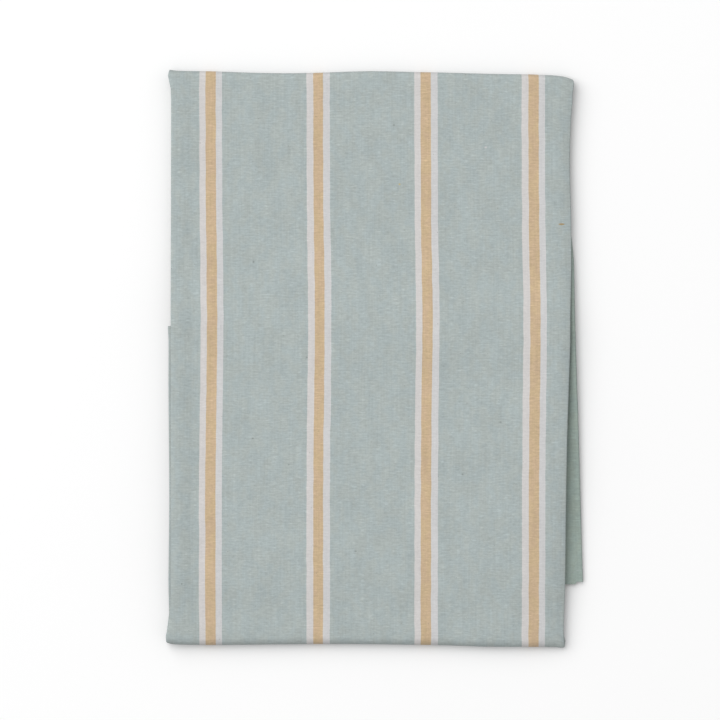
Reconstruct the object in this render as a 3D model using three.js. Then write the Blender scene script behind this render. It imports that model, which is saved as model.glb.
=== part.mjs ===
// A striped tablecloth, hemmed all round, folded into a flat packet and lying on a table. Millimetres, +Z
// up.
//
// X runs across the packet, Y along it, and the origin is the middle of the face it lies on. The cloth
// was halved along its length, so each sheet here is a pair of plies. The pair was then folded in four
// across, like a book, into a long strip, and the strip in three along, like a letter:
//
//   across the strip, seen along it     along the packet, seen from its side
//     ___________________                 _________________________
//    (___________________\               /  top run                \
//     _________________)  |             |   __________ tucked run  |
//     ____________________/             |   _________________     /
//                                        \__lowest run_______
//
// Every point of the cloth is set by three numbers: how far it lies across the cloth from the first side
// hem, how far along the strip from its hemmed end, and how far off the sheet's middle.

import * as THREE from "three";

// The sheet and its levels across the strip; the uppermost level droops towards the wide fold
const SHEET = 1.1;
const LEVEL_STEP = 1.4;
const LEVELS = 4;
const STRIP_WIDTH = 350;
const HEM_INSET = 4;
const INNER_FOLD_SLACK = 7;
const DROOP_REACH = 11;
const DROOP_SLOPE = 0.25;
const WIDE_FOLD_RADIUS = 0.8;

// The packet
const PACKET_LENGTH = 505.4;
const UPPER_FOLD_GAP = 1.6;
const LOWER_FOLD_GAP = 3.0;
const RUN_GAP = 0.3;

// Within what distance of its side the lowest run rises where it comes out on the right, over what part
// of that it fades out, and how much of the rise the top run comes down by
const SIDE_RISE_REACH = 12;
const SIDE_RISE_FADE = 9;
const SIDE_DROP = 0.15;

// The corner of its hemmed end that lies a step back
const HEM_STEP_BACK = 2.2;
const HEM_STEP_WIDTH = 6;
const HEM_STEP_REACH = 30;

// How soft the packet is, as parts of its height: the ridge over its hems on the left, what is lost at
// the lower fold and at its right corner, and the swell of its upper face
const HEM_RIDGE = 0.1;
const HEM_RIDGE_START = 7;
const HEM_RIDGE_END = 20;
const LOWER_SAG = 0.14;
const LOWER_SAG_REACH = 16;
const CORNER_SAG = 0.28;
const CORNER_SAG_REACH = 45;
const CORNER_SAG_START = -90;
const SWELL = 0.018;
const SWELL_ACROSS = 260;
const SWELL_ALONG = 410;

const STRIP_HEIGHT = (LEVELS - 1) * LEVEL_STEP + SHEET;
const ON_LOWEST = STRIP_HEIGHT + RUN_GAP;
const ON_TUCKED = 2 * ON_LOWEST;
const END = PACKET_LENGTH / 2;
const WIDE_FOLD_TILT = Math.atan(DROOP_SLOPE);
const WIDE_FOLD_X = STRIP_WIDTH / 2 - SHEET / 2 - WIDE_FOLD_RADIUS;
const DROOP_END = WIDE_FOLD_X + WIDE_FOLD_RADIUS * Math.sin(WIDE_FOLD_TILT);
const DROOP_START = DROOP_END - DROOP_REACH;
const DROOP_DEPTH = (DROOP_SLOPE * DROOP_REACH) / 2;
const WIDE_FOLD_TOP = STRIP_HEIGHT - SHEET / 2 - DROOP_DEPTH - WIDE_FOLD_RADIUS * Math.cos(WIDE_FOLD_TILT);
const UPPER_FOLD_Y = END - STRIP_HEIGHT - UPPER_FOLD_GAP / 2;
const LOWER_FOLD_Y = -END + STRIP_HEIGHT + LOWER_FOLD_GAP / 2;
const HEM_END_Y = -197.4;
const TUCKED_END_Y = 28.2;

// Each run of the strip, a row for each section: where it is along the packet, how high its underside
// lies, and where its two sides are. The runs follow each other along the strip, and a fold joins each to
// the next.
const LOWEST_RUN = [
  { y: HEM_END_Y, under: 0, left: -166.6, right: 182.9 },
  { y: -70, under: 0, left: -170.2, right: 179.3 },
  { y: 40, under: 0, left: -173.4, right: 175.8 },
  { y: 86, under: 0, left: -174.7, right: 174.9 },
  { y: 104, under: 0, left: -175.2, right: 173.2 },
  { y: 118, under: 0, left: -175.6, right: 171.4 },
  { y: 172, under: 0, left: -177.0, right: 169.4 },
  { y: UPPER_FOLD_Y, under: 0, left: -178.8, right: 173.6 },
];
const TOP_RUN = [
  { y: UPPER_FOLD_Y, under: STRIP_HEIGHT + UPPER_FOLD_GAP, left: -181.0, right: 175.0 },
  { y: 241, under: STRIP_HEIGHT + 1.5, left: -179.5, right: 173.7 },
  { y: 232, under: STRIP_HEIGHT + 1.2, left: -178.3, right: 173.6 },
  { y: 209, under: ON_LOWEST + 0.5, left: -178.3, right: 172.1 },
  { y: 173, under: ON_LOWEST, left: -178.4, right: 171.2 },
  { y: 118, under: ON_LOWEST + 0.1, left: -178.5, right: 172.4 },
  { y: 84, under: ON_LOWEST + 1.2, left: -178.6, right: 172.5 },
  { y: 58, under: ON_LOWEST + 3.0, left: -178.6, right: 172.1 },
  { y: 34, under: ON_TUCKED - 0.2, left: -178.5, right: 171.5 },
  { y: 22, under: ON_TUCKED + 0.3, left: -178.4, right: 171.5 },
  { y: -14, under: ON_TUCKED, left: -178.3, right: 170.5 },
  { y: -63, under: ON_TUCKED + 0.6, left: -178.2, right: 168.8 },
  { y: -90, under: ON_TUCKED + 1.1, left: -178.2, right: 168.2 },
  { y: -160, under: ON_TUCKED + 1.4, left: -178.1, right: 167.3 },
  { y: -197, under: ON_TUCKED + 0.6, left: -178.3, right: 167.0 },
  { y: -225, under: ON_LOWEST + 3.2, left: -179.2, right: 166.2 },
  { y: -237, under: ON_LOWEST + 3.1, left: -181.0, right: 165.8 },
  { y: LOWER_FOLD_Y, under: STRIP_HEIGHT + RUN_GAP + LOWER_FOLD_GAP, left: -182.8, right: 166.2 },
];
const TUCKED_RUN = [
  { y: LOWER_FOLD_Y, under: RUN_GAP, left: -182.9, right: 167.6 },
  { y: -237, under: RUN_GAP, left: -181.9, right: 165.1 },
  { y: -225, under: 1.4, left: -180.5, right: 164.8 },
  { y: -197, under: ON_LOWEST, left: -180.8, right: 164.3 },
  { y: -123, under: ON_LOWEST, left: -180.1, right: 164.8 },
  { y: -54, under: ON_LOWEST, left: -180.6, right: 165.3 },
  { y: -20, under: ON_LOWEST, left: -180.8, right: 165.6 },
  { y: 16, under: ON_LOWEST, left: -180.7, right: 165.9 },
  { y: TUCKED_END_Y, under: ON_LOWEST, left: -181.4, right: 166.0 },
];

// How far the lowest run's right side rises where it comes out from under the top run, along the packet
const SIDE_RISE = [
  { y: HEM_END_Y, rise: 0 },
  { y: -132, rise: 0.4 },
  { y: -80, rise: 1.5 },
  { y: -36, rise: 3.0 },
  { y: 25, rise: 4.2 },
  { y: 60, rise: 3.1 },
  { y: 90, rise: 1.4 },
  { y: 118, rise: 0 },
];

// How far each end fold lies from the packet's nominal end, point by point across it
const UPPER_EDGE = [
  { x: -181, off: 1.7 },
  { x: -177, off: 0.5 },
  { x: -170, off: 0 },
  { x: -144, off: -0.3 },
  { x: -109, off: -1.6 },
  { x: -74, off: -2.1 },
  { x: -39, off: -1.3 },
  { x: -4, off: -0.2 },
  { x: 31, off: -0.9 },
  { x: 66, off: -1.6 },
  { x: 101, off: -2.6 },
  { x: 127, off: -3.0 },
  { x: 149, off: -3.2 },
  { x: 158, off: -4.1 },
  { x: 166, off: -4.9 },
  { x: 174, off: -6.3 },
];
const LOWER_EDGE = [
  { x: -183, off: 3.8 },
  { x: -177, off: 2.3 },
  { x: -170, off: 2.0 },
  { x: -144, off: 1.5 },
  { x: -109, off: 1.9 },
  { x: -74, off: 2.2 },
  { x: -39, off: 2.5 },
  { x: -4, off: 2.3 },
  { x: 31, off: 1.8 },
  { x: 66, off: 1.3 },
  { x: 101, off: 0 },
  { x: 127, off: -0.1 },
  { x: 157, off: -0.3 },
  { x: 165, off: -2.3 },
];
const EDGE_REACH = 110;

// How finely each stretch is cut into faces
const ACROSS = [-0.96, -0.92, -0.88, -0.7, -0.3, 0.1, 0.5, 0.82, 0.935, 0.97];
const TIGHT_FOLD_FACES = 4;
const WIDE_FOLD_FACES = 3;
const END_FOLD_FACES = 7;
const LOWEST_RUN_CUTS = [HEM_END_Y, -167, -90, -36, 25, 70, 96, 118, 225];
const TOP_RUN_CUTS = [
  241, 232, 209, 173, 118, 84, 70, 58, 46, 34, 22, -14, -90, -160, HEM_END_Y, -211, -225, -237,
];
const TUCKED_RUN_CUTS = [-237, -225, -211, HEM_END_Y, -160, -90, -20, TUCKED_END_Y];

// The value of one column of a table at a place along it: a smooth curve through the rows that never
// overshoots
function between(rows, key, column, place) {
  const rising = rows[rows.length - 1][key] > rows[0][key];
  const table = rising ? rows : [...rows].reverse();
  const last = table.length - 1;
  const at = Math.min(Math.max(place, table[0][key]), table[last][key]);
  let i = 0;
  while (i < last - 1 && at > table[i + 1][key]) {
    i += 1;
  }
  const slope = (j) => (table[j + 1][column] - table[j][column]) / (table[j + 1][key] - table[j][key]);
  const tangent = (j) => {
    if (j === 0 || j === last) {
      return slope(Math.min(j, last - 1));
    }
    const before = slope(j - 1);
    const after = slope(j);
    return before * after > 0 ? (2 * before * after) / (before + after) : 0;
  };
  const span = table[i + 1][key] - table[i][key];
  const t = (at - table[i][key]) / span;
  const from = table[i][column];
  const to = table[i + 1][column];
  const ease = t * t * (3 - 2 * t);
  const bend = t * (1 - t) * span * ((1 - t) * tangent(i) - t * tangent(i + 1));
  return from + (to - from) * ease + bend;
}

// How far the uppermost level has come down at a place across the strip, and how steeply it falls there
function droop(x) {
  const beyond = Math.max(0, x - DROOP_START);
  const slope = (DROOP_SLOPE * beyond) / DROOP_REACH;
  return { depth: (slope * beyond) / 2, slope };
}

// The section across the strip, as points with the way the sheet's upper side faces there. Levels are
// counted from the strip's inner face. A tight half circle joins two of them at a side, and the wide fold
// that reaches round it is two quarter circles and a wall.
function sectionAcross() {
  const side = STRIP_WIDTH / 2;
  const height = (level) => SHEET / 2 + level * LEVEL_STEP;
  const tightRadius = 0.5 * LEVEL_STEP;
  const innerX = side - 1.5 * SHEET - INNER_FOLD_SLACK - tightRadius;
  const leftX = -side + SHEET / 2 + tightRadius;
  const hemX = -side + HEM_INSET;
  const points = [];

  const level = (index, fromX, toX, facing) => {
    const low = Math.min(fromX, toX);
    const high = Math.max(fromX, toX);
    const cuts = ACROSS.map((part) => part * side).filter((x) => x > low && x < high);
    const xs = [fromX, ...(fromX < toX ? cuts : cuts.reverse()), toX];
    for (const x of xs) {
      const { depth, slope } = index === LEVELS - 1 ? droop(x) : { depth: 0, slope: 0 };
      const size = Math.hypot(1, slope);
      points.push({ x, h: height(index) - depth, nx: (facing * slope) / size, nh: facing / size });
    }
  };
  const fold = (x, h, radius, from, to, faces, facing, first = 1, last = faces - 1) => {
    for (let i = first; i <= last; i += 1) {
      const angle = from + ((to - from) * i) / faces;
      const cos = Math.cos(angle);
      const sin = Math.sin(angle);
      points.push({ x: x + radius * cos, h: h + radius * sin, nx: facing * cos, nh: facing * sin });
    }
  };

  const down = -Math.PI / 2;
  const up = Math.PI / 2;
  level(1, hemX, innerX, 1);
  fold(innerX, (height(1) + height(2)) / 2, tightRadius, down, up, TIGHT_FOLD_FACES, -1);
  level(2, innerX, leftX, -1);
  fold(leftX, (height(2) + height(3)) / 2, tightRadius, down, down - Math.PI, TIGHT_FOLD_FACES, 1);
  level(3, leftX, DROOP_END, 1);
  const turn = up - WIDE_FOLD_TILT;
  fold(WIDE_FOLD_X, WIDE_FOLD_TOP, WIDE_FOLD_RADIUS, turn, 0, WIDE_FOLD_FACES, 1, 1, WIDE_FOLD_FACES);
  fold(WIDE_FOLD_X, height(0) + WIDE_FOLD_RADIUS, WIDE_FOLD_RADIUS, 0, down, WIDE_FOLD_FACES, 1, 0);
  level(0, WIDE_FOLD_X, hemX, -1);
  return points;
}

// The middle plane of the strip from its hemmed end to its tucked end, as stations: the place, the way
// the strip's outer face looks, and where its two sides are
function stationsAlong() {
  const stations = [];
  const station = (y, z, ny, nz, left, right) => stations.push({ y, z, ny, nz, left, right });

  const run = (rows, cuts, facing) => {
    for (const y of cuts) {
      const middle = (at) => between(rows, "y", "under", at) + STRIP_HEIGHT / 2;
      const step = 0.5;
      const rise = (middle(y + step) - middle(y - step)) / (2 * step);
      const size = Math.hypot(1, rise);
      const left = between(rows, "y", "left", y);
      const right = between(rows, "y", "right", y);
      station(y, middle(y), (-facing * rise) / size, facing / size, left, right);
    }
  };
  const fold = (from, to, turnTo) => {
    const radius = (to.under - from.under) / 2;
    const centre = (from.under + to.under + STRIP_HEIGHT) / 2;
    for (let i = 0; i <= END_FOLD_FACES; i += 1) {
      const part = i / END_FOLD_FACES;
      const angle = Math.PI * part;
      const ny = turnTo * Math.sin(angle);
      const nz = -Math.sign(radius) * Math.cos(angle);
      const left = from.left + (to.left - from.left) * part;
      const right = from.right + (to.right - from.right) * part;
      station(from.y + Math.abs(radius) * ny, centre + Math.abs(radius) * nz, ny, nz, left, right);
    }
  };

  run(LOWEST_RUN, LOWEST_RUN_CUTS, -1);
  fold(LOWEST_RUN[LOWEST_RUN.length - 1], TOP_RUN[0], 1);
  run(TOP_RUN, TOP_RUN_CUTS, 1);
  fold(TOP_RUN[TOP_RUN.length - 1], TUCKED_RUN[0], -1);
  run(TUCKED_RUN, TUCKED_RUN_CUTS, -1);
  return stations;
}

// The packet's own softness: its end folds wander, it stands higher over its hems and sinks at its lower
// fold and right corner, its upper face swells a little, and the lowest run springs up where it comes out
// on the right. All runs share it, so they keep their order.
function soften(x, y, z) {
  const part = (value) => Math.min(Math.max(value, 0), 1);
  const upper = part(1 - (END - y) / EDGE_REACH) ** 2;
  const lower = part(1 - (END + y) / EDGE_REACH) ** 2;
  const right = between(TOP_RUN, "y", "right", y);
  const lowestRight = between(LOWEST_RUN, "y", "right", y);
  const stepped = part(x - (lowestRight - HEM_STEP_WIDTH) + 0.5) * part(1 - (y - HEM_END_Y) / HEM_STEP_REACH);
  const folded = upper * between(UPPER_EDGE, "x", "off", x) + lower * between(LOWER_EDGE, "x", "off", x);

  const fromLeft = x - between(TOP_RUN, "y", "left", y);
  const offRidge = part((fromLeft - HEM_RIDGE_START) / (HEM_RIDGE_END - HEM_RIDGE_START));
  const ridge = HEM_RIDGE * (1 - offRidge ** 2 * (3 - 2 * offRidge));
  const toHem = part((CORNER_SAG_START - y) / (CORNER_SAG_START - HEM_END_Y));
  const atCorner = toHem * part(1 - (right - x) / CORNER_SAG_REACH) ** 2;
  const sag = LOWER_SAG * Math.max(0, 1 - (END + y) / LOWER_SAG_REACH) ** 2 + CORNER_SAG * atCorner;
  const wave = (at, length) => Math.cos((2 * Math.PI * at) / length);
  const swell = SWELL * wave(x, SWELL_ACROSS) * wave(y, SWELL_ALONG);
  const nearSide = part((SIDE_RISE_REACH - lowestRight + x) / SIDE_RISE_FADE);
  const rise = nearSide * between(SIDE_RISE, "y", "rise", y);
  const above = 1 - (1 + SIDE_DROP) * part((z - STRIP_HEIGHT) / (ON_TUCKED - STRIP_HEIGHT));
  const height = z * (1 - sag + ridge + swell) + rise * (z < STRIP_HEIGHT ? z / STRIP_HEIGHT : above);
  return new THREE.Vector3(x, y + folded + HEM_STEP_BACK * stepped, height);
}

// The place of one point of the cloth: a point of the section, offset from the sheet's middle, at one
// station
function place(point, offset, station) {
  const across = (point.x + offset * point.nx) / STRIP_WIDTH + 0.5;
  const height = point.h + offset * point.nh - STRIP_HEIGHT / 2;
  const x = station.left + across * (station.right - station.left);
  return soften(x, station.y + height * station.ny, station.z + height * station.nz);
}

// The closed surface of the cloth: both faces of the sheet, its two side hems, its hemmed end and its
// folded end. All layers are split along the same diagonal of the packet, so that they bend alike.
function clothGeometry() {
  const section = sectionAcross();
  const stations = stationsAlong();
  const columns = section.length;
  const half = SHEET / 2;
  const positions = [];
  for (const station of stations) {
    for (const offset of [half, -half]) {
      for (const point of section) {
        positions.push(...place(point, offset, station).toArray());
      }
    }
  }

  const index = [];
  const vertex = (row, face, column) => (2 * row + face) * columns + column;
  const quad = (a, b, c, d, turned) => (turned ? index.push(b, c, d, b, d, a) : index.push(a, b, c, a, c, d));
  for (let row = 0; row < stations.length - 1; row += 1) {
    const next = row + 1;
    for (let column = 0; column < columns - 1; column += 1) {
      const right = column + 1;
      const turned = section[right].x < section[column].x !== stations[next].y < stations[row].y;
      const corners = (face) => [
        vertex(row, face, column), vertex(next, face, column), vertex(next, face, right), vertex(row, face, right),
      ];
      const [a, b, c, d] = corners(1);
      quad(...corners(0), turned);
      quad(a, d, c, b, turned);
    }
    const end = columns - 1;
    quad(vertex(row, 0, 0), vertex(row, 1, 0), vertex(next, 1, 0), vertex(next, 0, 0));
    quad(vertex(row, 0, end), vertex(next, 0, end), vertex(next, 1, end), vertex(row, 1, end));
  }
  const tail = stations.length - 1;
  for (let column = 0; column < columns - 1; column += 1) {
    const right = column + 1;
    quad(vertex(0, 0, column), vertex(0, 0, right), vertex(0, 1, right), vertex(0, 1, column));
    quad(vertex(tail, 0, column), vertex(tail, 1, column), vertex(tail, 1, right), vertex(tail, 0, right));
  }

  const geometry = new THREE.BufferGeometry();
  geometry.setAttribute("position", new THREE.Float32BufferAttribute(positions, 3));
  geometry.setIndex(index);
  return geometry;
}

function makeCloth() {
  const cotton = new THREE.MeshStandardMaterial({ color: 0xacb5b4, roughness: 0.9, metalness: 0 });
  const cloth = new THREE.Mesh(clothGeometry(), cotton);
  cloth.name = "cloth";
  return cloth;
}

const tablecloth = new THREE.Group();
tablecloth.add(makeCloth());
export default tablecloth;
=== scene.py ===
"""A striped cotton tablecloth, folded into a flat packet on a pale floor and seen from straight above.

The cloth is one sheet. It was halved along its length, folded in four across, and folded in three along
like a letter. Lengths are millimetres until they reach a mesh, which is in metres.
"""

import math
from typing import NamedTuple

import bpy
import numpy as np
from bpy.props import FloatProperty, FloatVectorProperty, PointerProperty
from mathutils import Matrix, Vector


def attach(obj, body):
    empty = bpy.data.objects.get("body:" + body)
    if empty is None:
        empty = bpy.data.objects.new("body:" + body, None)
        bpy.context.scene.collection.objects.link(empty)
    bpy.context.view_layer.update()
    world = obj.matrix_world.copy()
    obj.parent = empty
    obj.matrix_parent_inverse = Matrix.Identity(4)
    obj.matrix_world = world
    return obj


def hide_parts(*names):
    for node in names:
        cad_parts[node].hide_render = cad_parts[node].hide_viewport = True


bl_info = {
    "name": "Folded Tablecloth",
    "version": (1, 0, 0),
    "blender": (4, 5, 0),
    "location": "3D View > Sidebar > Tablecloth",
    "description": "Folds a striped tablecloth into a packet, weaves its cotton and sets the stage",
    "category": "Object",
}

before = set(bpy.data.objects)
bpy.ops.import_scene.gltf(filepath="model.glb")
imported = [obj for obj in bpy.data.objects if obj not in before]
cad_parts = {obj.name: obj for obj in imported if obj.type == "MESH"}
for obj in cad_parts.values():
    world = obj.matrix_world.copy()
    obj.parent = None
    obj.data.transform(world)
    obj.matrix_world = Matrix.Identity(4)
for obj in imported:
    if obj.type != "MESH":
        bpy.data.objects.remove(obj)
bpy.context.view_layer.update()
MM = 0.001

# The sheet and its levels across the strip; a level is a pair of plies
PAIR = 1.1
LEVEL_STEP = 1.4
LEVELS = 4
STRIP_WIDTH = 350
HEM_INSET = 4
INNER_FOLD_SLACK = 7
DROOP_REACH = 11
DROOP_SLOPE = 0.25
WIDE_FOLD_RADIUS = 0.8
PLY_STEP = 0.7

# The packet: its length, the gaps in its two end folds and between its runs, and where its free ends lie
PACKET_LENGTH = 505.4
UPPER_FOLD_GAP = 1.6
LOWER_FOLD_GAP = 3.0
RUN_GAP = 0.3
HEM_END_Y = -197.4
TUCKED_END_Y = 28.2

# The lowest run's right side rises where nothing lies on it: from this far in, and in full past the fade.
# What lies above it sinks by up to this share of the rise.
SIDE_RISE_REACH = 12
SIDE_RISE_FADE = 9
SIDE_DROP = 0.15

# The outer corner of its hemmed end lies a step back
HEM_STEP_BACK = 2.2
HEM_STEP_WIDTH = 6
HEM_STEP_RAMP = 1.0
HEM_STEP_REACH = 30

# The ridge of the hems on the left, the sags at the lower fold and on the right, and the swell, all as
# shares of the height, with how far each reaches or, for the swell, its waves' lengths
HEM_RIDGE = 0.1
HEM_RIDGE_START = 7
HEM_RIDGE_END = 20
LOWER_SAG = 0.14
LOWER_SAG_REACH = 16
CORNER_SAG = 0.28
CORNER_SAG_REACH = 45
CORNER_SAG_START = -90
SWELL = 0.018
SWELL_ACROSS = 260
SWELL_ALONG = 410

# How far from an end the wander of its fold still shows
EDGE_REACH = 110

# What follows from these
STRIP_HEIGHT = (LEVELS - 1) * LEVEL_STEP + PAIR
ON_LOWEST = STRIP_HEIGHT + RUN_GAP
ON_TUCKED = 2 * ON_LOWEST
END = PACKET_LENGTH / 2
WIDE_FOLD_TILT = math.atan(DROOP_SLOPE)
WIDE_FOLD_X = STRIP_WIDTH / 2 - PAIR / 2 - WIDE_FOLD_RADIUS
DROOP_END = WIDE_FOLD_X + WIDE_FOLD_RADIUS * math.sin(WIDE_FOLD_TILT)
DROOP_START = DROOP_END - DROOP_REACH
DROOP_DEPTH = DROOP_SLOPE * DROOP_REACH / 2
WIDE_FOLD_TOP = STRIP_HEIGHT - PAIR / 2 - DROOP_DEPTH - WIDE_FOLD_RADIUS * math.cos(WIDE_FOLD_TILT)
UPPER_FOLD_Y = END - STRIP_HEIGHT - UPPER_FOLD_GAP / 2
LOWER_FOLD_Y = -END + STRIP_HEIGHT + LOWER_FOLD_GAP / 2

# Each run of the strip, a row for each section: its place along the packet, its underside and its sides
RUN_COLUMNS = ("y", "under", "left", "right")
LOWEST_RUN = (
    (HEM_END_Y, 0, -166.6, 182.9),
    (-70, 0, -170.2, 179.3),
    (40, 0, -173.4, 175.8),
    (86, 0, -174.7, 174.9),
    (104, 0, -175.2, 173.2),
    (118, 0, -175.6, 171.4),
    (172, 0, -177.0, 169.4),
    (UPPER_FOLD_Y, 0, -178.8, 173.6),
)
TOP_RUN = (
    (UPPER_FOLD_Y, STRIP_HEIGHT + UPPER_FOLD_GAP, -181.0, 175.0),
    (241, STRIP_HEIGHT + 1.5, -179.5, 173.7),
    (232, STRIP_HEIGHT + 1.2, -178.3, 173.6),
    (209, ON_LOWEST + 0.5, -178.3, 172.1),
    (173, ON_LOWEST, -178.4, 171.2),
    (118, ON_LOWEST + 0.1, -178.5, 172.4),
    (84, ON_LOWEST + 1.2, -178.6, 172.5),
    (58, ON_LOWEST + 3.0, -178.6, 172.1),
    (34, ON_TUCKED - 0.2, -178.5, 171.5),
    (22, ON_TUCKED + 0.3, -178.4, 171.5),
    (-14, ON_TUCKED, -178.3, 170.5),
    (-63, ON_TUCKED + 0.6, -178.2, 168.8),
    (-90, ON_TUCKED + 1.1, -178.2, 168.2),
    (-160, ON_TUCKED + 1.4, -178.1, 167.3),
    (-197, ON_TUCKED + 0.6, -178.3, 167.0),
    (-225, ON_LOWEST + 3.2, -179.2, 166.2),
    (-237, ON_LOWEST + 3.1, -181.0, 165.8),
    (LOWER_FOLD_Y, STRIP_HEIGHT + RUN_GAP + LOWER_FOLD_GAP, -182.8, 166.2),
)
TUCKED_RUN = (
    (LOWER_FOLD_Y, RUN_GAP, -182.9, 167.6),
    (-237, RUN_GAP, -181.9, 165.1),
    (-225, 1.4, -180.5, 164.8),
    (-197, ON_LOWEST, -180.8, 164.3),
    (-123, ON_LOWEST, -180.1, 164.8),
    (-54, ON_LOWEST, -180.6, 165.3),
    (-20, ON_LOWEST, -180.8, 165.6),
    (16, ON_LOWEST, -180.7, 165.9),
    (TUCKED_END_Y, ON_LOWEST, -181.4, 166.0),
)

# How far the lowest run's right side rises where it comes out from under the top run, along the packet
RISE_COLUMNS = ("y", "rise")
SIDE_RISE = ((HEM_END_Y, 0), (-132, 0.4), (-80, 1.5), (-36, 3.0), (25, 4.2), (60, 3.1), (90, 1.4), (118, 0))

# How far each end fold lies from the packet's nominal end, point by point across it
EDGE_COLUMNS = ("x", "off")
UPPER_EDGE = (
    (-181, 1.7), (-177, 0.5), (-170, 0), (-144, -0.3), (-109, -1.6), (-74, -2.1), (-39, -1.3), (-4, -0.2),
    (31, -0.9), (66, -1.6), (101, -2.6), (127, -3.0), (149, -3.2), (158, -4.1), (166, -4.9), (174, -6.3),
)
LOWER_EDGE = (
    (-183, 3.8), (-177, 2.3), (-170, 2.0), (-144, 1.5), (-109, 1.9), (-74, 2.2), (-39, 2.5), (-4, 2.3),
    (31, 1.8), (66, 1.3), (101, 0), (127, -0.1), (157, -0.3), (165, -2.3),
)

# How finely the plies are cut into faces
LEVEL_CUT = 17.0
RUN_CUT = 10.0
TIGHT_FOLD_FACES = 8
WIDE_FOLD_FACES = 6
END_FOLD_FACES = 14
TURN_FACES = 6
CREASE_ANGLE = math.radians(50)

# Extra cuts: across the strip from its left side and from its right side, and at each hem, just inside its
# rim and this far to both sides of its inner edge
LEFT_CUTS = (4, 8, 20, 25)
RIGHT_CUTS = (12, 9, 6.6, 5.4, 3.5)
RIM_CUT = 0.6
SLOPE_CUT = 0.8

# Marks a fold's points in a section, where the others hold the number of their level
FOLD = -1

# How far to either side a run's slope is measured
SLOPE_STEP = 0.5

# A row faces up where its normal's height is above this
FACES_UP = 0.5

# The cloth's pattern on the packet: the first stripe, and how far all stripes bow out where the top run
# climbs over the end of the tucked one
STRIPE_X = -143.7
WANDER = 1.4
WANDER_REACH = 84

# How wide the slope is from a hem's thickness to the cloth's. Its stitches: how far they lie in from the
# hem's inner edge, their width, the length from one to the next, and the share of it that is thread.
HEM_SLOPE = 1.2
STITCH_INSET = 1.5 * MM
STITCH_WIDTH = 0.5 * MM
STITCH_LENGTH = 3.0 * MM
STITCH_SHARE = 0.75

# Colours that vary the dyes as factors: of the sage and of the tan
SAGE_SHIFT = (0.975, 1.0, 1.026)
TAN_SHIFT = (1.0, 0.985, 1.04)
# Painted shade, darker and greener, as a factor on both ends of the cloth: the top run's shade on the strip
PAINTED_END_SHADE = (0.81, 0.865, 0.795)

# The noises that vary the yarns: how far their features reach across the cloth and along it, in
# millimetres, and how many finer octaves they have
NOISES = {
    "drift": (40, 14, 0),
    "hue": (9, 15, 2),
    "grain": (2.4, 1.5, 1),
    "level_streak": (7, 1.3, 0),
    "upright_streak": (1.3, 45, 0),
    "cloud": (22, 30, 2),
    "slub": (7, 1.1, 0),
}

# How far the warp drifts, where a noise turns into a hue or a slub, and the share of the upright streaks
DRIFT = 0.7 * MM
HUE_EDGES = (0.35, 0.65)
SLUB_EDGES = (0.72, 0.8)
UPRIGHT_SHARE = 0.5

# How strongly noises and weave show in the tone, how much less in white, and how high they stand in relief
GRAIN = 0.21
STREAK = 0.18
CLOUD = 0.15
SLUB = 0.1
WEAVE_CONTRAST = 0.1
WHITE_EVENNESS = 0.42
RELIEF = {"bead": 0.6, "grain": 1.2, "streak": 1.0, "slub": 0.8, "stitch": 1.5}
RELIEF_DEPTH = 0.08 * MM
RELIEF_STRENGTH = 0.35

# Specks, scattered about this far apart, with a radius that is a share of it
SPECK_SPACING = 26 * MM
SPECK_RADIUS = 0.014
SPECK_STRENGTH = 0.6
SPECK = (0.16, 0.17, 0.15)

# Odd bits of fibre spun into the yarn, where they lie on the packet's upper face. They fade outside a core.
FLECK_STRENGTH = 0.85
FLECK_CORE = 0.3
FLECK_COLOURS = {
    "brown": (0.36, 0.24, 0.09),
    "straw": (0.5, 0.42, 0.2),
    "pale": (0.55, 0.54, 0.54),
    "dark": (0.25, 0.28, 0.27),
}
FLECK_COLUMNS = ("x", "y", "width", "height", "colour")
FLECKS = (
    (163.9, 118.0, 6.4, 1.9, "brown"),
    (21.8, 153.0, 2.2, 2.0, "straw"),
    (97.4, 185.3, 2.8, 2.0, "pale"),
    (16.9, 204.9, 2.4, 1.8, "dark"),
    (-106.1, 85.0, 2.0, 2.4, "dark"),
    (-59.2, 1.3, 2.0, 1.8, "dark"),
    (-106.6, -69.6, 2.4, 1.8, "dark"),
    (-75.1, -92.5, 1.6, 1.6, "dark"),
    (-16.7, -168.3, 2.6, 1.4, "dark"),
    (76.9, -101.0, 2.0, 2.0, "dark"),
    (110.1, -55.4, 2.6, 1.5, "dark"),
    (-168.7, -196.8, 1.8, 1.8, "dark"),
)

# The stage, in metres: the floor that shows, one below it that only lights the cloth, and the large light
FLOOR_SIZE = 24
FLOOR_Z = -0.0002
BOUNCE_FLOOR_Z = -0.0004
KEY_SIZE = 10
KEY_PLACE = (-4.0, 3.2, 6.6)

# The picture: its side and the packet's middle in pixels, and the size of a pixel at the packet
PICTURE_PIXELS = 720
PICTURE_CENTRE = PICTURE_PIXELS / 2
PACKET_CENTRE_PIXEL = (374.64, 358.84)
PIXEL = 0.875

# A Mix node's sockets by number, because those for colours share their names with the others
MIX_FACTOR, MIX_FIRST, MIX_SECOND, MIX_RESULT = 0, 6, 7, 2


class Section(NamedTuple):
    """The middle line of the sheet across the strip: the length along it, its place and height, where its
    outer side faces, and each point's level, or FOLD."""

    along: np.ndarray
    x: np.ndarray
    h: np.ndarray
    nx: np.ndarray
    nh: np.ndarray
    level: np.ndarray


class Stations(NamedTuple):
    """The middle plane of the strip along its length: the length along it, its place and height, where
    its outer side faces, and the strip's left and right side."""

    along: np.ndarray
    y: np.ndarray
    z: np.ndarray
    ny: np.ndarray
    nz: np.ndarray
    left: np.ndarray
    right: np.ndarray


def columns(rows, names):
    """The rows of a table as one array for each named column, in the order of the first."""
    table = np.array(sorted(rows), dtype=float).T
    return dict(zip(names, table))


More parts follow.
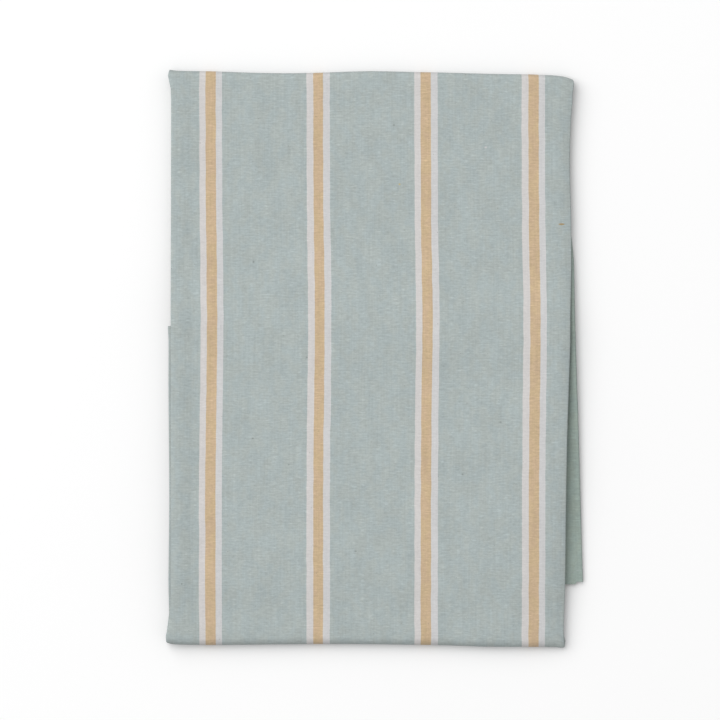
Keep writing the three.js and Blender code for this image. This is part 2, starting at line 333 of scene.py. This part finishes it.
def between(table, key, column, places):
    """A smooth curve through a table's rows. Each gap holds the cubic that meets both its rows with their
    slopes. A row's slope is the harmonic mean of the slopes of its two gaps, or zero where they differ in
    sign, so the curve never overshoots. The first and the last row have the slope of their one gap."""
    keys, values = table[key], table[column]
    at = np.clip(places, keys[0], keys[-1])
    slopes = np.diff(values) / np.diff(keys)
    before, after = slopes[:-1], slopes[1:]
    same = before * after > 0
    total = np.where(same, before + after, 1.0)
    inner = np.where(same, 2 * before * after / total, 0.0)
    tangents = np.concatenate((slopes[:1], inner, slopes[-1:]))
    i = np.clip(np.searchsorted(keys, at, side="left") - 1, 0, len(keys) - 2)
    span = keys[i + 1] - keys[i]
    t = (at - keys[i]) / span
    ease = t * t * (3 - 2 * t)
    bend = t * (1 - t) * span * ((1 - t) * tangents[i] - t * tangents[i + 1])
    return values[i] + (values[i + 1] - values[i]) * ease + bend


def spread(start, end, step, extras=()):
    """Places from start to end, about a step apart, with the extra places that lie between."""
    low, high = min(start, end), max(start, end)
    count = max(2, round((high - low) / step) + 1)
    inside = [value for value in extras if low < value < high]
    places = np.unique(np.concatenate((np.linspace(low, high, count), inside)))
    return places if start < end else places[::-1]


def lengths(*parts):
    """The length run through from the first point to each."""
    steps = np.sqrt(sum(np.diff(part) ** 2 for part in parts))
    return np.concatenate(([0.0], np.cumsum(steps)))


def ramp(values, start, end):
    """0 at start and beyond, 1 at end and beyond, and even between them."""
    return np.clip((values - start) / (end - start), 0, 1)


def nearness(distance, reach):
    """1 at no distance, falling as a square to 0 at the reach."""
    return np.maximum(0, 1 - distance / reach) ** 2


def hem_cuts(rim, hem):
    """Where the cloth is cut at a hem: just inside its rim, at its inner edge and to both sides of that."""
    return rim + np.array([RIM_CUT, hem - SLOPE_CUT, hem, hem + SLOPE_CUT])


def droop(x):
    """How far the strip's upper level has come down at places across it, and how steeply it falls there.
    Beyond DROOP_START it sinks as a square, up to a slope of DROOP_SLOPE at the wide fold."""
    beyond = np.maximum(0, x - DROOP_START)
    return DROOP_SLOPE * beyond**2 / (2 * DROOP_REACH), DROOP_SLOPE * beyond / DROOP_REACH


def section_across(hem):
    """The sheet's middle line across the strip: four level lines, joined by two tight half circles and by
    a wide fold of two quarter circles and a wall. It runs from one side hem, on the second level, over
    the third and the top one to the other side hem, on the lowest. The wide fold reaches round the tight
    fold on its side."""
    side = STRIP_WIDTH / 2
    heights = PAIR / 2 + LEVEL_STEP * np.arange(LEVELS)
    tight = LEVEL_STEP / 2
    inner_x = side - PAIR - INNER_FOLD_SLACK - (PAIR / 2 + tight)
    left_x = -side + PAIR / 2 + tight
    hem_x = -side + HEM_INSET
    cuts = np.concatenate((hem_cuts(hem_x, hem), -side + np.array(LEFT_CUTS), side - np.array(RIGHT_CUTS)))
    parts = []

    def level(index, start, end, facing):
        """A level line; the top one droops, and its facing is square to its slope."""
        x = spread(start, end, LEVEL_CUT, cuts)
        drop, slope = droop(x) if index == LEVELS - 1 else np.zeros((2, len(x)))
        size = np.hypot(1, slope)
        facings = facing * slope / size, facing / size
        parts.append((x, heights[index] - drop, *facings, np.full(len(x), index)))

    def fold(x, height, radius, angles, facing):
        """Points on a circle at angles, facing away from its centre, or towards it where facing is -1."""
        cos, sin = np.cos(angles), np.sin(angles)
        mark = np.full(len(angles), FOLD)
        parts.append((x + radius * cos, height + radius * sin, facing * cos, facing * sin, mark))

    down, up = -math.pi / 2, math.pi / 2
    inner_turn = np.linspace(down, up, TIGHT_FOLD_FACES + 1)[1:-1]
    left_turn = np.linspace(down, down - math.pi, TIGHT_FOLD_FACES + 1)[1:-1]
    level(1, hem_x, inner_x, 1)
    fold(inner_x, heights[1] + tight, tight, inner_turn, -1)
    level(2, inner_x, left_x, -1)
    fold(left_x, heights[2] + tight, tight, left_turn, 1)
    level(3, left_x, DROOP_END, 1)
    upper_turn = np.linspace(up - WIDE_FOLD_TILT, 0, WIDE_FOLD_FACES + 1)[1:]
    lower_turn = np.linspace(0, down, WIDE_FOLD_FACES + 1)[:-1]
    fold(WIDE_FOLD_X, WIDE_FOLD_TOP, WIDE_FOLD_RADIUS, upper_turn, 1)
    fold(WIDE_FOLD_X, heights[0] + WIDE_FOLD_RADIUS, WIDE_FOLD_RADIUS, lower_turn, 1)
    level(0, WIDE_FOLD_X, hem_x, -1)
    x, h, nx, nh, index = (np.concatenate(column) for column in zip(*parts))
    return Section(lengths(x, h), x, h, nx, nh, index)


def stations_along(hem):
    """The strip's middle plane from its hemmed end to its tucked end: three runs, each a smooth curve
    through its table, joined by half circles from one run's last section to the first of the next."""
    parts = []

    def run(rows, facing, backwards, extras=()):
        """A run's middle, half the strip's height above its underside, facing square to its slope."""
        table = columns(rows, RUN_COLUMNS)
        ends = (table["y"][-1], table["y"][0]) if backwards else (table["y"][0], table["y"][-1])
        y = spread(*ends, RUN_CUT, extras)
        middle = between(table, "y", "under", y) + STRIP_HEIGHT / 2
        ahead = between(table, "y", "under", y + SLOPE_STEP)
        behind = between(table, "y", "under", y - SLOPE_STEP)
        inside = (y > table["y"][0] + SLOPE_STEP) & (y < table["y"][-1] - SLOPE_STEP)
        rise = np.where(inside, (ahead - behind) / (2 * SLOPE_STEP), 0.0)
        size = np.hypot(1, rise)
        left, right = between(table, "y", "left", y), between(table, "y", "right", y)
        parts.append((y, middle, -facing * rise / size, facing / size, left, right))

    def fold(start, end):
        """A half circle from one section to another straight above or below; the sides change evenly."""
        (y, start_under, *start_sides), (_, end_under, *end_sides) = start, end
        part = np.arange(1, END_FOLD_FACES) / END_FOLD_FACES
        radius = (end_under - start_under) / 2
        centre = (start_under + end_under + STRIP_HEIGHT) / 2
        ny = np.sign(radius) * np.sin(math.pi * part)
        nz = -np.sign(radius) * np.cos(math.pi * part)
        sides = [a + (b - a) * part for a, b in zip(start_sides, end_sides)]
        parts.append((y + abs(radius) * ny, centre + abs(radius) * nz, ny, nz, *sides))

    run(LOWEST_RUN, -1, False, hem_cuts(HEM_END_Y, hem))
    fold(LOWEST_RUN[-1], TOP_RUN[0])
    run(TOP_RUN, 1, True)
    fold(TOP_RUN[-1], TUCKED_RUN[0])
    run(TUCKED_RUN, -1, False)
    y, z, ny, nz, left, right = (np.concatenate(column) for column in zip(*parts))
    return Stations(lengths(y, z), y, z, ny, nz, left, right)


def soften(x, y, z):
    """The packet's own softness, shared by all runs so that they keep their order.

    Both end folds wander by their tables, less as a square up to EDGE_REACH from the end. Heights sag as
    a square towards the lower fold, and towards the right side: not before CORNER_SAG_START, then evenly
    more up to the hemmed end, and in full beyond it. They are raised on the left, where the hems lie on
    each other, and swelled by two slow waves. Where the lowest run comes out on the right, with no weight
    on it, its side rises by its table, and what lies on it sinks by a share of that. The outer corner of
    its hemmed end lies a step back."""
    top, lowest = columns(TOP_RUN, RUN_COLUMNS), columns(LOWEST_RUN, RUN_COLUMNS)
    left, right = between(top, "y", "left", y), between(top, "y", "right", y)
    lowest_right = between(lowest, "y", "right", y)

    upper_off = between(columns(UPPER_EDGE, EDGE_COLUMNS), "x", "off", x)
    lower_off = between(columns(LOWER_EDGE, EDGE_COLUMNS), "x", "off", x)
    shifted = y + nearness(END - y, EDGE_REACH) * upper_off + nearness(END + y, EDGE_REACH) * lower_off
    step_x = lowest_right - HEM_STEP_WIDTH
    stepped = ramp(x, step_x - HEM_STEP_RAMP / 2, step_x + HEM_STEP_RAMP / 2)
    shifted = shifted + HEM_STEP_BACK * stepped * ramp(y, HEM_END_Y + HEM_STEP_REACH, HEM_END_Y)

    at_right = nearness(np.maximum(0, right - x), CORNER_SAG_REACH)
    sag = LOWER_SAG * nearness(END + y, LOWER_SAG_REACH)
    sag = sag + CORNER_SAG * ramp(y, CORNER_SAG_START, HEM_END_Y) * at_right
    off_ridge = ramp(x - left, HEM_RIDGE_START, HEM_RIDGE_END)
    ridge = HEM_RIDGE * (1 - off_ridge**2 * (3 - 2 * off_ridge))
    swell = SWELL * np.cos(2 * math.pi * x / SWELL_ACROSS) * np.cos(2 * math.pi * y / SWELL_ALONG)

    rise_start = lowest_right - SIDE_RISE_REACH
    rise = between(columns(SIDE_RISE, RISE_COLUMNS), "y", "rise", y)
    rise = rise * ramp(x, rise_start, rise_start + SIDE_RISE_FADE)
    share = np.interp(z, (0, STRIP_HEIGHT, ON_TUCKED), (0, 1, -SIDE_DROP))
    return np.stack((x, shifted, z * (1 - sag + ridge + swell) + rise * share), axis=-1)


def place(section, stations, off, past):
    """The places of the cloth's points, rows along the strip and columns across it. Off is how far each
    lies from the pair's middle, along the section's facing, and past how far beyond its station along the
    strip. The section's places are stretched to the strip's own sides, and its heights laid off along the
    station's facing."""
    column = Section(*(part[None, :] for part in section))
    row = Stations(*(part[:, None] for part in stations))
    across = column.x + off * column.nx
    height = column.h + off * column.nh - STRIP_HEIGHT / 2
    x = row.left + (across / STRIP_WIDTH + 0.5) * (row.right - row.left)
    y = row.y + height * row.ny - past * row.nz
    z = row.z + height * row.nz + past * row.ny
    return soften(x, y, z)


class ClothSettings(bpy.types.PropertyGroup):
    """Sizes and colours of the tablecloth."""

    ply: FloatProperty(
        name="Ply", description="Thickness of the cotton", default=0.42 * MM, unit="LENGTH")
    hem_ply: FloatProperty(
        name="Hem Thickness", description="Thickness of the pressed hem", default=0.62 * MM, unit="LENGTH")
    hem_width: FloatProperty(
        name="Hem Width", description="Width of the turned hem", default=12 * MM, unit="LENGTH")
    stripe_pitch: FloatProperty(
        name="Stripe Pitch", description="From one stripe to the next", default=94.3 * MM, unit="LENGTH")
    tan_width: FloatProperty(
        name="Tan Width", description="Width of a stripe's tan band", default=8.8 * MM, unit="LENGTH")
    white_width: FloatProperty(
        name="White Width", description="Width of each white band", default=5.8 * MM, unit="LENGTH")
    yarn_pitch: FloatProperty(
        name="Yarn Pitch", description="From one yarn to the next", default=0.5 * MM, unit="LENGTH")
    sage: FloatVectorProperty(
        name="Sage", description="Colour of the ground", subtype="COLOR", default=(0.3895, 0.434, 0.4212))
    warm_white: FloatVectorProperty(
        name="Warm White", description="White on a stripe's left", subtype="COLOR",
        default=(0.605, 0.584, 0.572))
    cool_white: FloatVectorProperty(
        name="Cool White", description="White on a stripe's right", subtype="COLOR",
        default=(0.579, 0.577, 0.579))
    tan: FloatVectorProperty(
        name="Tan", description="Colour of the tan band", subtype="COLOR", default=(0.55, 0.418, 0.262))


class StageSettings(bpy.types.PropertyGroup):
    """Camera, floor and light."""

    lens: FloatProperty(name="Lens", description="Focal length", default=200, unit="CAMERA")
    floor_shade: FloatProperty(
        name="Floor", description="Reflectance of the floor that shows", subtype="FACTOR",
        default=0.945, min=0, max=1)
    bounce_shade: FloatProperty(
        name="Bounce", description="Reflectance of the floor that lights the cloth", subtype="FACTOR",
        default=0.6, min=0, max=1)
    key_power: FloatProperty(
        name="Key Light", description="Power of the large soft light", default=640, unit="POWER")
    fill: FloatProperty(name="Fill", description="Strength of the light from all round", default=0.55)


class Value:
    """A socket of a node tree, with arithmetic that adds Math nodes."""

    def __init__(self, shader, socket):
        self.shader = shader
        self.socket = socket

    def __add__(self, other):
        return self.shader.math("ADD", self, other)

    def __radd__(self, other):
        return self.shader.math("ADD", other, self)

    def __sub__(self, other):
        return self.shader.math("SUBTRACT", self, other)

    def __rsub__(self, other):
        return self.shader.math("SUBTRACT", other, self)

    def __mul__(self, other):
        return self.shader.math("MULTIPLY", self, other)

    def __rmul__(self, other):
        return self.shader.math("MULTIPLY", other, self)

    def __truediv__(self, other):
        return self.shader.math("DIVIDE", self, other)

    def __gt__(self, other):
        return self.shader.math("GREATER_THAN", self, other)

    def __lt__(self, other):
        return self.shader.math("LESS_THAN", self, other)


class Shader:
    """A material's node tree. One method adds any node; the others name the few that recur."""

    def __init__(self, name):
        self.material = bpy.data.materials.new(name)
        self.material.use_nodes = True
        self.tree = self.material.node_tree
        self.tree.nodes.clear()

    def node(self, kind, settings=None, inputs=None):
        """Adds a node, with its settings first, then its sockets' values and links."""
        made = self.tree.nodes.new("ShaderNode" + kind)
        for name, setting in (settings or {}).items():
            setattr(made, name, setting)
        for key, value in (inputs or {}).items():
            if isinstance(value, Value):
                self.tree.links.new(value.socket, made.inputs[key])
            else:
                made.inputs[key].default_value = value
        return made

    def value(self, made, output=0):
        """A node's output, by name or number."""
        return Value(self, made.outputs[output])

    def math(self, operation, *values):
        """The result of one Math operation."""
        return self.value(self.node("Math", {"operation": operation}, dict(enumerate(values))))

    def between_edges(self, value, low, high):
        """0 below low, 1 above high, and a smooth step from one to the other."""
        inputs = {"Value": value, "From Min": low, "From Max": high}
        return self.value(self.node("MapRange", {"interpolation_type": "SMOOTHSTEP"}, inputs))

    def vector(self, x, y):
        """A place on a plane."""
        return self.value(self.node("CombineXYZ", None, {"X": x, "Y": y}))

    def noise(self, x, y, detail=0.0):
        """Smooth noise about 0.5, with features about one unit wide."""
        settings = {"noise_dimensions": "2D"}
        inputs = {"Vector": self.vector(x, y), "Scale": 1.0, "Detail": detail}
        return self.value(self.node("TexNoise", settings, inputs))

    def mix(self, factor, first, second, blend="MIX"):
        """Mixes two colours; a number in place of a colour is a grey."""
        settings = {"data_type": "RGBA", "blend_type": blend}
        inputs = {MIX_FACTOR: factor, MIX_FIRST: first, MIX_SECOND: second}
        return self.value(self.node("Mix", settings, inputs), MIX_RESULT)


def opaque(colour, factors=(1, 1, 1)):
    """A colour for a socket, each channel times its factor."""
    return (*(channel * factor for channel, factor in zip(colour, factors)), 1.0)


def cotton(settings, width, length, stripe_zero, end, flecks):
    """Plain-woven cotton, worked out from places on the flat cloth: u across it and v along it. Its warp
    yarns run along the cloth and carry the colours: sage, and stripes of white, tan and white. Its yarns
    are uneven, which shows as short level streaks, slubs, clouds and drifting hues, and odd specks and
    flecks are spun in. A hem is stitched all round. Both ends, as far as end along the cloth, are painted
    darker and greener: painted shade for the strip that lies in the top run's shade."""
    shade = Shader("striped_cotton")
    uv = shade.node("UVMap", {"uv_map": "cloth"})
    parts = shade.node("SeparateXYZ", None, {"Vector": shade.value(uv)})
    u, v = shade.value(parts, "X"), shade.value(parts, "Y")
    pitch = settings.yarn_pitch

    def noise(kind):
        """One of the NOISES, with places divided by the reach of its features."""
        across, along, detail = NOISES[kind]
        return shade.noise(u / (across * MM), v / (along * MM), detail)

    # The weave: yarns are counted both ways, warp and weft take turns on top, and every crossing is a bead
    warp_place = (u + (noise("drift") - 0.5) * DRIFT) / pitch
    weft_place = v / pitch
    warp, weft = shade.math("FLOOR", warp_place), shade.math("FLOOR", weft_place)
    warp_on_top = shade.math("FLOORED_MODULO", warp + weft, 2)
    swell_across = shade.math("SINE", warp_place * math.pi)
    swell_along = shade.math("SINE", weft_place * math.pi)
    bead = shade.math("ABSOLUTE", swell_across * swell_along)

    # The stripes: how far a warp yarn lies aside from the middle of its nearest stripe
    stripe = settings.stripe_pitch
    aside = shade.math("WRAP", warp * pitch + (pitch / 2 - stripe_zero), stripe / 2, -stripe / 2)
    off_middle = shade.math("ABSOLUTE", aside)
    in_tan = off_middle < settings.tan_width / 2
    in_stripe = off_middle < settings.tan_width / 2 + settings.white_width
    on_right = aside > 0

    hue = shade.between_edges(noise("hue"), *HUE_EDGES)
    sage = shade.mix(hue, opaque(settings.sage), opaque(settings.sage, SAGE_SHIFT))
    tan = shade.mix(hue, opaque(settings.tan), opaque(settings.tan, TAN_SHIFT))
    white = shade.mix(on_right, opaque(settings.warm_white), opaque(settings.cool_white))
    yarn = shade.mix(in_tan, shade.mix(in_stripe, sage, white), tan)

    # The tone: one and the noises' sum, less of it in white, times the weave; both ends get painted shade
    grain = noise("grain") - 0.5
    level_streak = noise("level_streak") - 0.5
    upright_streak = (noise("upright_streak") - 0.5) * UPRIGHT_SHARE
    cloud = noise("cloud") - 0.5
    slub = shade.between_edges(noise("slub"), *SLUB_EDGES)
    in_white = in_stripe * (1 - in_tan)
    uneven = grain * GRAIN + (level_streak + upright_streak) * STREAK + cloud * CLOUD + slub * SLUB
    tone = (1 + uneven * (1 - in_white * WHITE_EVENNESS)) * (1 + (warp_on_top - 0.5) * WEAVE_CONTRAST)
    colour = shade.mix(1.0, yarn, tone, "MULTIPLY")
    from_end = shade.math("MINIMUM", v, length - v)
    # Painted shade at both ends, darker and greener, for the shade on the strip beside the top run
    colour = shade.mix(from_end < end, colour, shade.mix(1.0, colour, opaque(PAINTED_END_SHADE), "MULTIPLY"))

    # Specks: small discs round scattered points, each of its own strength
    cells = shade.vector(u / SPECK_SPACING, v / SPECK_SPACING)
    specks = shade.node("TexVoronoi", {"voronoi_dimensions": "2D"}, {"Vector": cells, "Scale": 1.0})
    strengths = shade.node("SeparateXYZ", None, {"Vector": shade.value(specks, "Color")})
    speck = (shade.value(specks, "Distance") < SPECK_RADIUS) * shade.value(strengths, "X")
    colour = shade.mix(speck * SPECK_STRENGTH, colour, opaque(SPECK))

    # Flecks: ellipses that fade from a core to their rim
    for fleck in flecks:
        across = (u - fleck["u"] * MM) / (fleck["width"] / 2 * MM)
        along = (v - fleck["v"] * MM) / (fleck["height"] / 2 * MM)
        outside = shade.between_edges(across * across + along * along, FLECK_CORE, 1)
        colour = shade.mix((1 - outside) * FLECK_STRENGTH, colour, opaque(FLECK_COLOURS[fleck["colour"]]))

    # Stitches: dashes on a seam line that runs round at one distance from the nearest edge
    from_side = shade.math("MINIMUM", u, width - u)
    from_edge = shade.math("MINIMUM", from_side, from_end)
    at_side = from_side < from_end
    run = at_side * v + (1 - at_side) * u
    seam = shade.math("ABSOLUTE", from_edge - (settings.hem_width - STITCH_INSET)) < STITCH_WIDTH / 2
    stitched = seam * (shade.math("FRACT", run / STITCH_LENGTH) < STITCH_SHARE)
    colour = shade.mix(stitched, colour, opaque(settings.sage))

    # Relief: the beads, noises and stitches again, each times its height
    height = bead * RELIEF["bead"] + grain * RELIEF["grain"] + level_streak * RELIEF["streak"]
    height = height + slub * RELIEF["slub"] + stitched * RELIEF["stitch"]
    relief = {"Strength": RELIEF_STRENGTH, "Distance": RELIEF_DEPTH, "Height": height}
    bump = shade.node("Bump", None, relief)
    surface = shade.node(
        "BsdfPrincipled",
        None,
        {"Base Color": colour, "Roughness": 0.9, "Sheen Weight": 0.2, "Sheen Roughness": 0.5,
         "Specular IOR Level": 0.2, "Normal": shade.value(bump)},
    )
    shade.node("OutputMaterial", None, {"Surface": shade.value(surface)})
    return shade.material


def plain(name, shade_of_grey):
    """A plain matt surface."""
    shade = Shader(name)
    colour = opaque([shade_of_grey] * 3)
    surface = shade.node("BsdfPrincipled", None, {"Base Color": colour, "Roughness": 0.95})
    shade.node("OutputMaterial", None, {"Surface": shade.value(surface)})
    return shade.material


def linked(name, data):
    """A new object at the origin, in the scene."""
    made = bpy.data.objects.new(name, data)
    bpy.context.scene.collection.objects.link(made)
    return made


def grid_mesh(name, outer, inner, uv):
    """A closed sheet: an outer and an inner grid of points, and a wall of faces along each of its edges.
    Every point has a place on the flat cloth in the UV map."""
    rows, cols, _ = outer.shape
    first = np.arange(rows * cols).reshape(rows, cols)
    second = first + rows * cols

    def wall(a, b):
        """The faces between two rows of points."""
        return np.stack((a[:-1], b[:-1], b[1:], a[1:]), axis=-1).reshape(-1, 4)

    def side(grid):
        """The faces between all neighbours of a grid."""
        quads = np.stack((grid[:-1, :-1], grid[1:, :-1], grid[1:, 1:], grid[:-1, 1:]), axis=-1)
        return quads.reshape(-1, 4)

    faces = np.concatenate((
        side(first), side(second)[:, ::-1],
        wall(first[:, 0], second[:, 0]), wall(second[:, -1], first[:, -1]),
        wall(second[0], first[0]), wall(first[-1], second[-1]),
    ))
    points = np.concatenate((outer.reshape(-1, 3), inner.reshape(-1, 3)))
    mesh = bpy.data.meshes.new(name)
    mesh.vertices.add(len(points))
    mesh.vertices.foreach_set("co", points.astype(np.float32).ravel())
    mesh.loops.add(faces.size)
    mesh.loops.foreach_set("vertex_index", faces.astype(np.int32).ravel())
    mesh.polygons.add(len(faces))
    mesh.polygons.foreach_set("loop_start", np.arange(0, faces.size, 4, dtype=np.int32))
    layer = mesh.uv_layers.new(name="cloth")
    both = np.concatenate((uv.reshape(-1, 2), uv.reshape(-1, 2)))
    layer.data.foreach_set("uv", both[faces.ravel()].astype(np.float32).ravel())
    mesh.update(calc_edges=True)
    mesh.validate()
    mesh.shade_smooth()
    mesh.set_sharp_from_angle(angle=CREASE_ANGLE)
    return mesh


def folded_rows(stations):
    """The rows of the halved cloth from one end hem to the other: up the strip on the pair's outer side,
    round a half circle at the tucked end, and back on its inner side. Gives each row's station, and the
    cosine and sine of its angle on the half circle: 1 and 0 on the outer side, -1 and 0 on the inner."""
    count = len(stations.along)
    up = np.arange(count)
    angle = math.pi * np.arange(1, TURN_FACES) / TURN_FACES
    turn = np.full(TURN_FACES - 1, count - 1)
    index = np.concatenate((up, turn, up[::-1]))
    cos = np.concatenate((np.ones(count), np.cos(angle), -np.ones(count)))
    sin = np.concatenate((np.zeros(count), np.sin(angle), np.zeros(count)))
    return index, cos, sin


def cloth_coordinates(section, stations, index, sin, cos):
    """Where each point lies on the flat cloth: across it from the first side hem, and along it from one
    end hem, both as lengths run through. The stripes stay straight while the strip's two sides drift, so
    each side's drift is added in full at its fold of the top level, and evenly less to nothing at the
    next folds or hems. On the top run the stripes bow out by WANDER at the tucked end, less by a bell
    curve to either side. Gives the places, and the flat cloth's width and length."""
    level = section.level
    inner_fold = section.along[level == 1][-1]
    left_fold, right_fold = section.along[level == LEVELS - 1][[0, -1]]
    width = section.along[-1]
    knots = (0, inner_fold, left_fold, right_fold, width)
    toward_left = np.interp(section.along, knots, (0, 0, 1, 0, 0))
    toward_right = np.interp(section.along, knots, (0, 0, 0, 1, 0))
    on_top = stations.nz > 0
    wander = np.where(on_top, WANDER * np.exp(-((stations.y - TUCKED_END_Y) / WANDER_REACH) ** 2), 0)
    left = (stations.left + STRIP_WIDTH / 2 - wander)[index]
    right = (stations.right - STRIP_WIDTH / 2 - wander)[index]
    u = section.along[None, :] + np.outer(left, toward_left) + np.outer(right, toward_right)
    strip = stations.along[-1]
    turn = math.pi * PLY_STEP / 2
    going = np.where(cos > 0, stations.along[index], 2 * strip + turn - stations.along[index])
    v = np.where(sin > 0, strip + turn * np.arctan2(sin, cos) / math.pi, going)
    return np.stack((u, np.broadcast_to(v[:, None], u.shape)), axis=-1), width, 2 * strip + turn


def flecks_on_cloth(points, uv, on_top):
    """The table of flecks with their places on the flat cloth, each taken from the nearest point of the
    mesh. On the packet's upper face the cloth's width runs along X and its length against Y."""
    flecks = []
    for row in FLECKS:
        fleck = dict(zip(FLECK_COLUMNS, row))
        distance = np.hypot(points[..., 0] - fleck["x"], points[..., 1] - fleck["y"])
        nearest = np.unravel_index(np.argmin(np.where(on_top, distance, np.inf)), distance.shape)
        fleck["u"] = float(uv[nearest][0] + fleck["x"] - points[nearest][0])
        fleck["v"] = float(uv[nearest][1] + points[nearest][1] - fleck["y"])
        flecks.append(fleck)
    return flecks


class TABLECLOTH_OT_cloth(bpy.types.Operator):
    """Folds the tablecloth and weaves its cotton"""

    bl_idname = "tablecloth.cloth"
    bl_label = "Fold the Cloth"

    def execute(self, context):
        settings = context.scene.tablecloth
        hem = settings.hem_width / MM
        section, stations = section_across(hem), stations_along(hem)
        index, cos, sin = folded_rows(stations)
        rows = Stations(*(part[index] for part in stations))
        uv, width, length = cloth_coordinates(section, stations, index, sin, cos)

        from_side = np.minimum(uv[..., 0], width - uv[..., 0])
        from_end = np.minimum(uv[..., 1], length - uv[..., 1])
        turned = ramp(np.minimum(from_side, from_end), hem + HEM_SLOPE / 2, hem - HEM_SLOPE / 2)
        thickness = (settings.ply + (settings.hem_ply - settings.ply) * turned) / MM

        def surface(side):
            """One side of the ply: half a step and half a thickness, out or in, off the pair's middle."""
            off = PLY_STEP / 2 + side * thickness / 2
            return place(section, rows, off * cos[:, None], off * sin[:, None])

        mesh = grid_mesh("tablecloth", surface(1) * MM, surface(-1) * MM, uv * MM)
        top = section.level == LEVELS - 1
        stripe_zero = section.along[top][0] - section.x[top][0] + STRIPE_X
        # How far from each end the painted shade reaches along the cloth
        end = UPPER_FOLD_Y - HEM_END_Y
        on_top = ((cos > 0) & (rows.nz > FACES_UP))[:, None] & top[None, :]
        flecks = flecks_on_cloth(surface(1), uv, on_top)
        mesh.materials.append(cotton(settings, width * MM, length * MM, stripe_zero * MM, end * MM, flecks))
        cloth = linked("tablecloth", mesh)
        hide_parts("cloth")
        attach(cloth, "root")
        width * MM
        length * MM
        return {"FINISHED"}


class TABLECLOTH_OT_stage(bpy.types.Operator):
    """Sets the floor, the soft light and the camera straight above the packet"""

    bl_idname = "tablecloth.stage"
    bl_label = "Set the Stage"

    def execute(self, context):
        settings = context.scene.tablecloth_stage
        half = FLOOR_SIZE / 2
        corners = ((-half, -half), (half, -half), (half, half), (-half, half))
        for name, z, grey, shows in (
            ("floor", FLOOR_Z, settings.floor_shade, True),
            ("floor_bounce", BOUNCE_FLOOR_Z, settings.bounce_shade, False),
        ):
            mesh = bpy.data.meshes.new(name)
            mesh.from_pydata([(x, y, z) for x, y in corners], [], [(0, 1, 2, 3)])
            mesh.materials.append(plain(name, grey))
            floor = linked(name, mesh)
            floor.visible_camera = shows
            floor.visible_diffuse = not shows

        world = bpy.data.worlds.new("studio")
        world.use_nodes = True
        world.node_tree.nodes["Background"].inputs["Strength"].default_value = settings.fill
        world.node_tree.nodes["Background"].inputs["Color"].default_value = (1, 1, 1, 1)
        context.scene.world = world

        key = bpy.data.lights.new("key", "AREA")
        key.size = KEY_SIZE
        key.energy = settings.key_power
        lamp = linked("key", key)
        lamp.location = KEY_PLACE
        lamp.rotation_euler = Vector(KEY_PLACE).to_track_quat("Z", "Y").to_euler()

        camera = bpy.data.cameras.new("camera")
        camera.lens = settings.lens
        column, row = PACKET_CENTRE_PIXEL
        x, y = (PICTURE_CENTRE - column) * PIXEL, (row - PICTURE_CENTRE) * PIXEL
        reach = PICTURE_PIXELS * PIXEL * camera.lens / camera.sensor_width
        seat = linked("camera", camera)
        seat.location = (x * MM, y * MM, (ON_TUCKED + STRIP_HEIGHT + reach) * MM)
        context.scene.camera = seat
        context.scene.view_settings.view_transform = "Standard"
        return {"FINISHED"}


class TABLECLOTH_PT_panel(bpy.types.Panel):
    """The tablecloth's sizes, colours and steps"""

    bl_label = "Tablecloth"
    bl_idname = "TABLECLOTH_PT_panel"
    bl_space_type = "VIEW_3D"
    bl_region_type = "UI"
    bl_category = "Tablecloth"

    def draw(self, context):
        for group in (context.scene.tablecloth, context.scene.tablecloth_stage):
            for name in group.bl_rna.properties.keys():
                if name not in ("rna_type", "name"):
                    self.layout.prop(group, name)
        for step in STEPS:
            self.layout.operator(step.bl_idname)


STEPS = (TABLECLOTH_OT_stage, TABLECLOTH_OT_cloth)
CLASSES = (ClothSettings, StageSettings, *STEPS, TABLECLOTH_PT_panel)


def register():
    """Registers the classes and puts both groups of settings on the scene."""
    for each in CLASSES:
        bpy.utils.register_class(each)
    bpy.types.Scene.tablecloth = PointerProperty(type=ClothSettings)
    bpy.types.Scene.tablecloth_stage = PointerProperty(type=StageSettings)


def unregister():
    """Takes the settings and the classes away again."""
    del bpy.types.Scene.tablecloth_stage
    del bpy.types.Scene.tablecloth
    for each in reversed(CLASSES):
        bpy.utils.unregister_class(each)


def main():
    """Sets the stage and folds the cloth."""
    register()
    bpy.ops.tablecloth.stage()
    bpy.ops.tablecloth.cloth()


if __name__ == "__main__":
    main()
